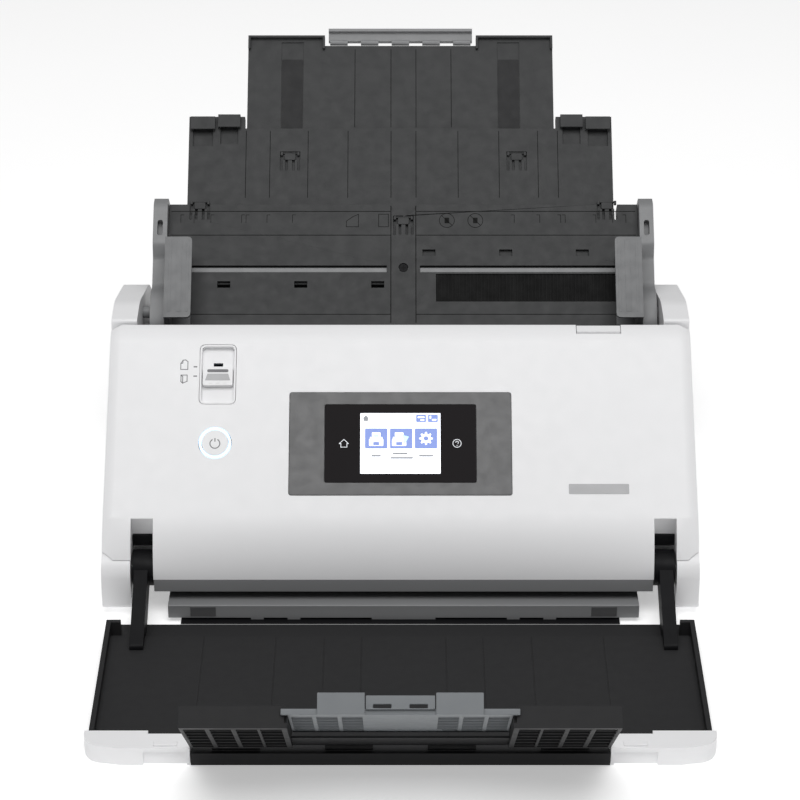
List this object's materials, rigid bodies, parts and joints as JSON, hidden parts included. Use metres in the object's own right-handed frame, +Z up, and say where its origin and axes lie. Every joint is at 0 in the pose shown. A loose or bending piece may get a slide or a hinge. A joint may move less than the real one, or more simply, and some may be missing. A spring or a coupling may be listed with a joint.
{
  "type": "sheet fed document scanner",
  "caption": "Desktop sheet fed document scanner with a raised extending input tray, edge guides, touch panel cover and fold-out output tray.",
  "frame": {"origin": "middle of the footprint on the table", "axes": "+Z up, -Y towards the user, +X to the user's right; the longest extent is +Y and the shortest is +Z"},
  "size_m": [0.3758, 0.5458, 0.2659],
  "materials": {
    "body_white": "satin moulded plastic with a fine texture",
    "inner_black": "black moulded plastic, finely textured",
    "tray_grey": "charcoal moulded plastic, finely textured",
    "output_black": "dark charcoal moulded plastic, finely textured",
    "trim_grey": "mid grey moulded plastic",
    "guide_grey": "mid grey moulded plastic, satin",
    "stopper_grey": "blue grey moulded plastic, satin",
    "bezel_grey": "dark grey satin plastic",
    "panel_glass": "black backed polished cover glass",
    "lcd": "lit colour display",
    "ring_light": "translucent light ring, pale blue",
    "rubber": "black rubber, fine grain",
    "steel": "bright turned steel",
    "sensor_glass": "clear scanning glass",
    "circuit_green": "solder masked circuit board"
  },
  "bodies": {
    "base": {"base_chassis": "inner_black", "rear_cover": "body_white", "left_side_cover": "body_white", "right_side_cover": "body_white", "lower_paper_guide": "inner_black", "exit_guide": "trim_grey", "lower_image_sensor": "inner_black", "lower_sensor_glass": "sensor_glass", "main_board": "circuit_green", "power_inlet": "inner_black", "usb_port": "steel", "network_port": "steel", "feed_motor": "steel", "front_left_foot": "rubber", "front_right_foot": "rubber", "rear_left_foot": "rubber", "rear_right_foot": "rubber", "left_hinge_pin": "steel", "right_hinge_pin": "steel", "drive_belt": "rubber"},
    "motor": {"motor_pulley": "steel"},
    "separation": {"separation_roller": "rubber"},
    "feed": {"feed_roller": "rubber"},
    "exit": {"exit_roller": "rubber"},
    "cover": {"front_cover_shell": "body_white", "cover_lip": "trim_grey", "cover_inner_frame": "inner_black", "upper_image_sensor": "inner_black", "upper_sensor_glass": "sensor_glass", "panel_bezel": "bezel_grey", "panel_glass": "panel_glass", "lcd_screen": "lcd", "selector_housing": "body_white", "power_button_ring": "ring_light"},
    "button": {"power_button": "body_white"},
    "selector": {"feed_selector": "body_white"},
    "lever": {"cover_lever": "body_white", "latch_shaft": "steel"},
    "pickup": {"pickup_roller": "rubber"},
    "feed_idler": {"feed_idler_roller": "rubber"},
    "exit_idler": {"exit_idler_roller": "rubber"},
    "input_tray": {"input_tray_base": "tray_grey", "guide_rail": "trim_grey", "input_tray_left_arm": "trim_grey", "input_tray_right_arm": "trim_grey"},
    "left_guide": {"left_edge_guide": "guide_grey"},
    "right_guide": {"right_edge_guide": "guide_grey"},
    "input_extension_1": {"input_extension_1": "tray_grey"},
    "input_extension_2": {"input_extension_2": "tray_grey"},
    "flap": {"top_flap": "trim_grey"},
    "output_tray": {"output_tray_base": "output_black", "left_tray_cap": "body_white", "right_tray_cap": "body_white", "output_tray_left_arm": "inner_black", "output_tray_right_arm": "inner_black"},
    "output_extension_1": {"output_extension_1": "output_black"},
    "output_extension_2": {"output_extension_2": "stopper_grey"},
    "centre_stopper": {"centre_stopper": "stopper_grey"},
    "left_stopper": {"left_stopper": "stopper_grey"},
    "right_stopper": {"right_stopper": "stopper_grey"}
  },
  "joints": [
    {"name": "input_tray_fold", "type": "hinge", "parent": "base", "child": "input_tray", "pos_m": [0, 0.10827, 0.13204], "axis": [-1, 0, 0], "range_deg": [-90, 0]},
    {"name": "input_extension_1_slide", "type": "slide", "parent": "input_tray", "child": "input_extension_1", "axis": [0, 0.7431, 0.6691], "range_m": [-0.05, 0]},
    {"name": "input_extension_2_slide", "type": "slide", "parent": "input_extension_1", "child": "input_extension_2", "axis": [0, 0.7431, 0.6691], "range_m": [-0.055, 0]},
    {"name": "top_flap_fold", "type": "hinge", "parent": "input_extension_2", "child": "flap", "pos_m": [0, 0.26493, 0.25695], "axis": [-1, 0, 0], "range_deg": [-90, 0]},
    {"name": "left_edge_guide_slide", "type": "slide", "parent": "input_tray", "child": "left_guide", "axis": [1, 0, 0], "range_m": [0, 0.11]},
    {"name": "right_edge_guide_slide", "type": "slide", "parent": "input_tray", "child": "right_guide", "axis": [1, 0, 0], "range_m": [-0.11, 0]},
    {"name": "front_cover_open", "type": "hinge", "parent": "base", "child": "cover", "pos_m": [0, -0.03775, 0.0276], "axis": [1, 0, 0], "range_deg": [0, 55]},
    {"name": "cover_lever_pull", "type": "hinge", "parent": "cover", "child": "lever", "pos_m": [0, 0.05925, 0.121], "axis": [-1, 0, 0], "range_deg": [0, 15], "stiffness_Nm_per_rad": 0.3, "springref_deg": -17.19},
    {"name": "power_button_press", "type": "slide", "parent": "cover", "child": "button", "axis": [0, 0.6691, -0.7431], "range_m": [0, 0.0012], "stiffness_N_per_m": 600, "springref_m": -0.0005},
    {"name": "feed_selector_slide", "type": "slide", "parent": "cover", "child": "selector", "axis": [0, 0.7431, 0.6691], "range_m": [0, 0.0062]},
    {"name": "output_tray_fold", "type": "hinge", "parent": "base", "child": "output_tray", "pos_m": [0, -0.03775, 0.0276], "axis": [1, 0, 0], "range_deg": [-100, 0]},
    {"name": "output_extension_1_raise", "type": "hinge", "parent": "output_tray", "child": "output_extension_1", "pos_m": [0, -0.19925, 0.0095], "axis": [1, 0, 0], "range_deg": [-125, 0]},
    {"name": "output_extension_2_slide", "type": "slide", "parent": "output_extension_1", "child": "output_extension_2", "axis": [0, -0.7193, 0.6947], "range_m": [0, 0.055]},
    {"name": "centre_stopper_fold", "type": "hinge", "parent": "output_extension_2", "child": "centre_stopper", "pos_m": [0, -0.26709, 0.08752], "axis": [1, 0, 0], "range_deg": [-85, 0]},
    {"name": "left_stopper_fold", "type": "hinge", "parent": "output_extension_2", "child": "left_stopper", "pos_m": [0, -0.26709, 0.08752], "axis": [1, 0, 0], "range_deg": [-85, 0]},
    {"name": "right_stopper_fold", "type": "hinge", "parent": "output_extension_2", "child": "right_stopper", "pos_m": [0, -0.26709, 0.08752], "axis": [1, 0, 0], "range_deg": [-85, 0]},
    {"name": "motor_pulley_spin", "type": "hinge", "parent": "base", "child": "motor", "pos_m": [0, 0.12525, 0.045], "axis": [1, 0, 0], "continuous": true},
    {"name": "separation_roller_spin", "type": "hinge", "parent": "base", "child": "separation", "pos_m": [0, 0.06096, 0.07175], "axis": [1, 0, 0], "continuous": true},
    {"name": "feed_roller_spin", "type": "hinge", "parent": "base", "child": "feed", "pos_m": [0, 0.02848, 0.04655], "axis": [1, 0, 0], "continuous": true},
    {"name": "exit_roller_spin", "type": "hinge", "parent": "base", "child": "exit", "pos_m": [0, -0.00529, 0.01681], "axis": [1, 0, 0], "continuous": true},
    {"name": "pickup_roller_spin", "type": "hinge", "parent": "cover", "child": "pickup", "pos_m": [0, 0.04872, 0.08535], "axis": [1, 0, 0], "continuous": true},
    {"name": "feed_idler_spin", "type": "hinge", "parent": "cover", "child": "feed_idler", "pos_m": [0, 0.02025, 0.05569], "axis": [1, 0, 0], "continuous": true},
    {"name": "exit_idler_spin", "type": "hinge", "parent": "cover", "child": "exit_idler", "pos_m": [0, -0.01285, 0.02521], "axis": [1, 0, 0], "continuous": true}
  ],
  "couplings": [
    {"joint": "right_edge_guide_slide", "follows": "left_edge_guide_slide", "ratio": -1},
    {"joint": "motor_pulley_spin", "follows": "separation_roller_spin", "ratio": 1},
    {"joint": "feed_roller_spin", "follows": "separation_roller_spin", "ratio": 1},
    {"joint": "exit_roller_spin", "follows": "separation_roller_spin", "ratio": 1},
    {"joint": "pickup_roller_spin", "follows": "separation_roller_spin", "ratio": -1},
    {"joint": "feed_idler_spin", "follows": "separation_roller_spin", "ratio": -1},
    {"joint": "exit_idler_spin", "follows": "separation_roller_spin", "ratio": -1}
  ]
}
